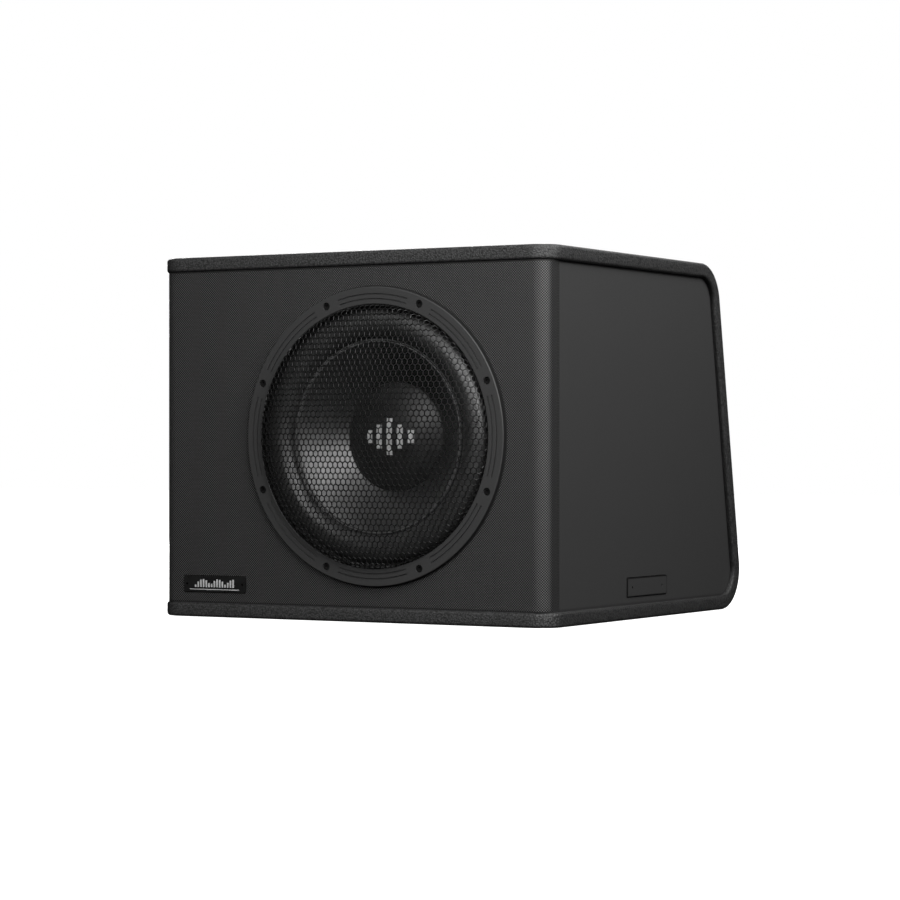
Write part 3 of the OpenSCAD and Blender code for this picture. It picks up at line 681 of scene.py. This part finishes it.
def hex_grille():
    """Perforated sheet: a hexagonal hole in each cell of a lattice laid over the dome by arc length."""
    column, row = 6.47, 6.11
    wire = 1.15
    thick = 1.0
    chamfer = 0.22
    tall = row / (column * math.sqrt(3) / 2)  # cells are a little taller than regular ones
    hole = column - wire
    flared = hole + 2 * chamfer
    section = [(column, 0.0), (flared, 0.0), (hole, chamfer), (hole, thick - chamfer), (flared, thick),
               (column, thick)]  # size across flats and depth of each ring of corners round a hole
    points, index, faces = [], {}, []

    def put(a, b, depth):
        key = (round(a, 3), round(b, 3), depth)
        if key not in index:
            s = min(math.hypot(a, b), GRILLE_ARC)
            r, d, nr, nd = grille_profile(s)
            index[key] = len(points)
            points.append(driver_point(r - nr * depth, d - nd * depth, math.atan2(b, a)))
        return index[key]

    reach = int(GRILLE_ARC / row) + 2
    for j in range(-reach, reach + 1):
        for i in range(-reach, reach + 1):
            ca, cb = (i + 0.5 * (j % 2)) * column, j * row
            if math.hypot(ca, cb) > GRILLE_ARC + 1:
                continue
            rings = []
            for size, depth in section:
                radius = size / math.sqrt(3)
                rings.append([
                    put(ca + radius * math.cos(math.radians(30 + 60 * k)),
                        cb + tall * radius * math.sin(math.radians(30 + 60 * k)), depth)
                    for k in range(6)])
            for a, b in zip(rings, rings[1:]):
                for k in range(6):
                    m = (k + 1) % 6
                    quad = (a[k], a[m], b[m], b[k])
                    if len(set(quad)) == 4:
                        faces.append(quad)
    mesh = piece("hex_grille", points, faces, MATERIALS["grille"])
    keep_sharp(mesh, 30)
    settle(mesh, "cabinet", ["grille_mesh"])


def grille_lip():
    """The solid band at the grille's foot, and the flat lip that the trim ring holds down."""
    profile = [(WALL_R, LIP_DEPTH - BAND), (WALL_R, LIP_DEPTH), (LIP_R, LIP_DEPTH)]
    profile += [(LIP_R, LIP_DEPTH + SHEET), (WALL_R - SHEET, LIP_DEPTH + SHEET)]
    profile += [(WALL_R - SHEET, LIP_DEPTH - BAND)]
    lip = revolve("grille_lip", profile, MATERIALS["grille"])
    keep_sharp(lip)
    settle(lip, "cabinet")


# The surround: its roll's middle, half widths and thickness, in mm
ROLL_R, ROLL_DEPTH = 122.0, 9.4
ROLL_RX, ROLL_RY, ROLL_T = 15.0, 12.4, 1.6
ROLL_IN, ROLL_OUT = 103.4, 140.4  # inner and outer radius of its flat flanges
FILLET = 1.4
SHELF = 11.0  # depth of the faces that the flanges are glued to


def radial_bend(ob):
    """Bakes a ring's placement into its mesh.
    """
    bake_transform(ob)


def surround_roll():
    """The surround's half roll between the cone and the basket, with small fillets at its flanges."""
    def half_roll(rx, ry, start, end):
        steps = 40
        out = []
        for i in range(steps + 1):
            a = math.radians(start + (end - start) * i / steps)
            out.append((ROLL_R + rx * math.cos(a), ROLL_DEPTH + ry * math.sin(a)))
        return out

    under_x, under_y = ROLL_RX - ROLL_T, ROLL_RY - ROLL_T
    fillet_in = arc((105.6, ROLL_DEPTH - FILLET), FILLET, 90, 10, 5)
    fillet_out = arc((138.4, ROLL_DEPTH - FILLET), FILLET, 170, 90, 5)
    profile = [(ROLL_IN, SHELF), (ROLL_IN, ROLL_DEPTH)] + fillet_in
    profile += half_roll(ROLL_RX, ROLL_RY, 186, 354) + fillet_out
    profile += [(ROLL_OUT, ROLL_DEPTH), (ROLL_OUT, SHELF), (ROLL_R + under_x, SHELF)]
    profile += half_roll(under_x, under_y, 360, 180) + [(ROLL_R - under_x, SHELF)]
    ring = revolve("surround_roll", profile, MATERIALS["rubber"], 240)
    keep_sharp(ring, 50)
    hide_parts("surround")
    radial_bend(ring)


def spider_disc():
    """Corrugated cloth: six waves that fade out at both ends, and a flat rim."""
    inner, outer, rim, depth = 38.35, 75.0, 81, 84.2
    waves, height, thick = 6, 2.2, 0.8
    steps = 120
    front = []
    for i in range(steps + 1):
        s = i / steps
        fade = min(1, 6 * s, 6 * (1 - s))
        ripple = height * fade * math.sin(s * waves * TAU)
        front.append((inner + (outer - inner) * s, depth - ripple))
    front.append((rim, depth))
    rear = [(r, d + thick) for r, d in reversed(front)]
    disc = revolve("spider_disc", front + rear, MATERIALS["spider"], 96)
    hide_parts("spider")
    radial_bend(disc)


CONE_EDGE = 8.6  # depth in mm of the cone's front rim, where the bead ring sits


def cone_body():
    """The cone's curved wall with its neck inside and its flange outside."""
    neck, flange, thick = 38.1, 107.4, 1.2  # radii of the neck and the flange, and the flange's thickness
    front = bezier([(101.6, CONE_EDGE), (86, 20), (70, 38), (neck, 66)], 48)
    rear = [(r + 0.864, d + 1.128) for r, d in reversed(front)]  # makes the wall about 1.4 mm thick
    rim = [(flange, SHELF), (103.2, SHELF), (103.2, CONE_EDGE)]
    back = [(104.2, SHELF + thick), (flange, SHELF + thick)]
    profile = rim + front + [(neck, 69)] + rear + back
    cone = revolve("cone_body", profile, MATERIALS["cone"], 240)
    keep_sharp(cone, 40)
    settle(cone, "moving_cone", ["cone"])


def cone_bead_ring():
    """The pale ring at the cone's edge: two small beads side by side."""
    bead, depth = 0.55, 7.8
    inner, outer = 101.95, 104.25
    profile = [(inner - bead, CONE_EDGE)] + arc((inner, depth), bead, 180, 360, 10)
    profile += arc((outer, depth), bead, 180, 360, 10) + [(outer + bead, CONE_EDGE)]
    ring = revolve("cone_bead_ring", profile, MATERIALS["cone_ring"], 240)
    settle(ring, "moving_cone", ["cone_trim_ring"])


CAP_BASE, CAP_RISE, CAP_EDGE = 59.3, 14.0, 46.0  # dust cap: radius, rise and its foot's depth, in mm
CAP_SPHERE = (CAP_BASE ** 2 + CAP_RISE ** 2) / (2 * CAP_RISE)


def cap_depth(radius):
    """Depth of the dust cap's face at this radius, in mm."""
    return CAP_EDGE - CAP_RISE + CAP_SPHERE - math.sqrt(CAP_SPHERE ** 2 - radius ** 2)


def dust_cap_dome():
    """The dust cap as a shell 1 mm thick, with a small foot on the cone."""
    radii = [CAP_BASE * i / 40 for i in range(41)]
    outer = [(r, cap_depth(r)) for r in radii]
    foot = [(CAP_BASE + 0.5, CAP_EDGE + 0.9), (CAP_BASE - 0.6, CAP_EDGE + 1.1)]
    inner = [(r * 0.985, cap_depth(r * 0.985) + 1) for r in reversed(radii)]
    dome = revolve("dust_cap_dome", outer + foot + inner, MATERIALS["cap"], 192, closed=False)
    keep_sharp(dome, 50)
    settle(dome, "moving_cone", ["dust_cap"])


def dust_cap_bars():
    """Five plain level bars on the dust cap, each a thin solid that follows the dome."""
    heights = (14, 26, 40, 26, 14)
    width, pitch, thick = 7.0, 13.0, 0.25
    points, faces = [], []
    across, up = 6, 20
    for n, height in enumerate(heights):
        base = len(points)
        for side in (0.0, 1.0):
            for j in range(up + 1):
                for i in range(across + 1):
                    x = (n - 2) * pitch + width * (i / across - 0.5)
                    z = height * (j / up - 0.5)
                    depth = cap_depth(math.hypot(x, z)) - thick * (1 - side) + 0.02 * side
                    points.append(driver_point(math.hypot(x, z), depth, math.atan2(z, x)))
        wide = across + 1
        layer = wide * (up + 1)
        for j in range(up):
            for i in range(across):
                a = base + j * wide + i
                quad = (a, a + 1, a + wide + 1, a + wide)
                faces.append(quad)
                faces.append(tuple(reversed([q + layer for q in quad])))
        rim = [base + i for i in range(across)]
        rim += [base + across + j * wide for j in range(up)]
        rim += [base + up * wide + i for i in range(across, 0, -1)]
        rim += [base + j * wide for j in range(up, 0, -1)]
        for a, b in zip(rim, rim[1:] + rim[:1]):
            faces.append((a, b, b + layer, a + layer))
    bars = piece("dust_cap_bars", points, faces, MATERIALS["mark"])
    keep_sharp(bars)
    settle(bars, "moving_cone")


def sweep(name, lines, radius, material, sides=10):
    """Round wires along lists of points in metres."""
    points, faces = [], []
    for line in lines:
        base = len(points)
        line = [Vector(p) for p in line]
        for i, p in enumerate(line):
            way = (line[min(i + 1, len(line) - 1)] - line[max(i - 1, 0)]).normalized()
            u = way.cross(Vector((0, 0, 1))).normalized()
            v = u.cross(way)
            for k in range(sides):
                a = TAU * k / sides
                points.append(p + radius * (math.cos(a) * u + math.sin(a) * v))
        for i in range(len(line) - 1):
            for k in range(sides):
                m = (k + 1) % sides
                a = base + i * sides
                faces.append((a + k, a + m, a + sides + m, a + sides + k))
        faces.append([base + k for k in range(sides)])
        faces.append([base + (len(line) - 1) * sides + k for k in reversed(range(sides))])
    return piece(name, points, faces, material)


def tinsel():
    """The two flexible leads between the terminals and the coil."""
    lines = []
    for z in (-6, 6):
        route = bezier([(-99, 88, z), (-101, 56, z), (-70, 84, z), (-39, 73, z)], 24)
        lines.append([(DRIVER.x + x * MM, FRONT_Y + d * MM, DRIVER.z - z * MM) for x, d, z in route])
    leads = sweep("tinsel_wires", lines, 0.8 * MM, MATERIALS["copper"])
    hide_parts("tinsel_leads")
    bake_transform(leads)


hex_grille()
grille_lip()
surround_roll()
spider_disc()
cone_body()
cone_bead_ring()
dust_cap_dome()
dust_cap_bars()
tinsel()


# ---------------------------------------------------------------- amplifier panel

def panel_prints():
    """Scale dashes round each knob and a bracket over each group of sockets, as thin raised print."""
    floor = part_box("amp_heatsink")[1].x
    points, faces = [], []

    def dash(centre, way, length, width):
        """A thin box on the floor: centre and way are in the panel's plane, as (y, z)."""
        along = Vector((0, way[0], way[1])).normalized()
        side = Vector((0, -along.z, along.y))
        base = len(points)
        for depth in (-0.12 * MM, 0.02 * MM):
            for a, b in ((-1, -1), (1, -1), (1, 1), (-1, 1)):
                corner = along * a * length / 2 + side * b * width / 2
                points.append(Vector((floor + depth, centre[0], centre[1])) + corner)
        faces.extend([tuple(base + q for q in f) for f in
                      ((3, 2, 1, 0), (4, 5, 6, 7), (0, 1, 5, 4), (1, 2, 6, 5), (2, 3, 7, 6), (3, 0, 4, 7))])

    for name in ("level_knob", "lowpass_knob", "bass_knob"):
        c = middle(name)
        for i in range(11):
            a = math.radians(-140 + 28 * i)
            way = (math.sin(a), math.cos(a))
            reach = 10.2 * MM
            length = (2.4 if i % 5 == 0 else 1.4) * MM
            dash((c.y + way[0] * reach, c.z + way[1] * reach), way, length, 0.5 * MM)
    grow = 2.5 * MM
    for name in ("terminal_block", "rca_housing", "fuse_holder", "high_level_socket", "remote_socket"):
        a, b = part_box(name)
        y0, y1, z1 = a.y - grow, b.y + grow, b.z + grow
        dash(((y0 + y1) / 2, z1), (1, 0), y1 - y0, 0.4 * MM)
        for y in (y0, y1):
            dash((y, z1 - 2 * MM), (0, 1), 4 * MM, 0.4 * MM)
    marks = piece("panel_prints", points, faces, MATERIALS["print"], smooth=False)
    settle(marks, "cabinet")


panel_prints()


# ---------------------------------------------------------------- stage

def stage_material(name, colour, glow):
    finish = Finish(name, grey(colour), 0.8)
    finish.shader.inputs["Emission Color"].default_value = (1, 1, 1, 1)
    finish.shader.inputs["Emission Strength"].default_value = glow
    return finish.material


def area_light(name, place, aim, size, power):
    lamp = bpy.data.lights.new(name, "AREA")
    lamp.shape = "RECTANGLE"
    lamp.size, lamp.size_y = size
    lamp.energy = power
    ob = bpy.data.objects.new(name, lamp)
    ob.location = place
    ob.rotation_euler = (Vector(aim) - Vector(place)).to_track_quat("-Z", "Y").to_euler()
    bpy.context.scene.collection.objects.link(ob)


FLOOR_HALF = 8.0
FLOOR_CORNERS = [(x * FLOOR_HALF, y * FLOOR_HALF, 0) for x, y in ((-1, -1), (1, -1), (1, 1), (-1, 1))]
FLOOR_WHITE = stage_material("floor_white", 0.5, 1.1)
floor = piece("floor", FLOOR_CORNERS, [(0, 1, 2, 3)], FLOOR_WHITE, smooth=False)
floor.location.z = CAD_BOX[0].z - 0.2 * MM
floor.visible_diffuse = False  # its glow would light the object from below
floor.visible_glossy = False


SKY_LOW, SKY_HIGH = 0.02, 0.05


def studio_world():
    """White behind the object; for its light, a soft sky that is brighter overhead than below."""
    world = bpy.data.worlds.new("studio")
    bpy.context.scene.world = world
    world.use_nodes = True
    tree = world.node_tree
    sky = tree.nodes["Background"]
    place = tree.nodes.new("ShaderNodeTexCoord")
    axes = tree.nodes.new("ShaderNodeSeparateXYZ")
    height = tree.nodes.new("ShaderNodeMapRange")
    path = tree.nodes.new("ShaderNodeLightPath")
    seen = tree.nodes.new("ShaderNodeMix")
    tree.links.new(place.outputs["Generated"], axes.inputs[0])
    tree.links.new(axes.outputs["Z"], height.inputs["Value"])
    height.inputs["From Min"].default_value = -0.4
    height.inputs["To Min"].default_value = SKY_LOW
    height.inputs["To Max"].default_value = SKY_HIGH
    tree.links.new(path.outputs["Is Camera Ray"], seen.inputs[0])
    tree.links.new(height.outputs["Result"], seen.inputs[2])
    seen.inputs[3].default_value = 1.0
    sky.inputs["Color"].default_value = (1, 1, 1, 1)
    tree.links.new(seen.outputs[0], sky.inputs["Strength"])


studio_world()

area_light("top_front", (0.3, -1.3, 1.6), (0.0, -0.2, 0.2), (1.4, 1.0), 5)
area_light("key", (1.15, -1.15, 1.0), (0.05, -0.2, 0.2), (0.8, 1.2), 13.5)
area_light("front_high", (0.25, -2.2, 1.0), (0.0, -0.2, 0.2), (0.9, 0.9), 9.5)
area_light("side_strip", (1.4, -0.5, 1.15), (0.2, -0.1, 0.6), (0.5, 1.0), 11.5)
area_light("side_high", (0.7, 0.25, 0.95), (0.24, 0.0, 0.35), (0.4, 0.4), 3.0)
# The next two light what the camera doesn't see: the amplifier's side and the back.
area_light("amplifier_side", (-1.6, 2.0, 0.8), (-0.2, 0.1, 0.2), (0.9, 0.9), 60)
area_light("back", (-0.3, 2.3, 0.9), (0.0, 0.2, 0.2), (1.0, 1.4), 10)

bpy.context.scene.view_settings.view_transform = "Standard"
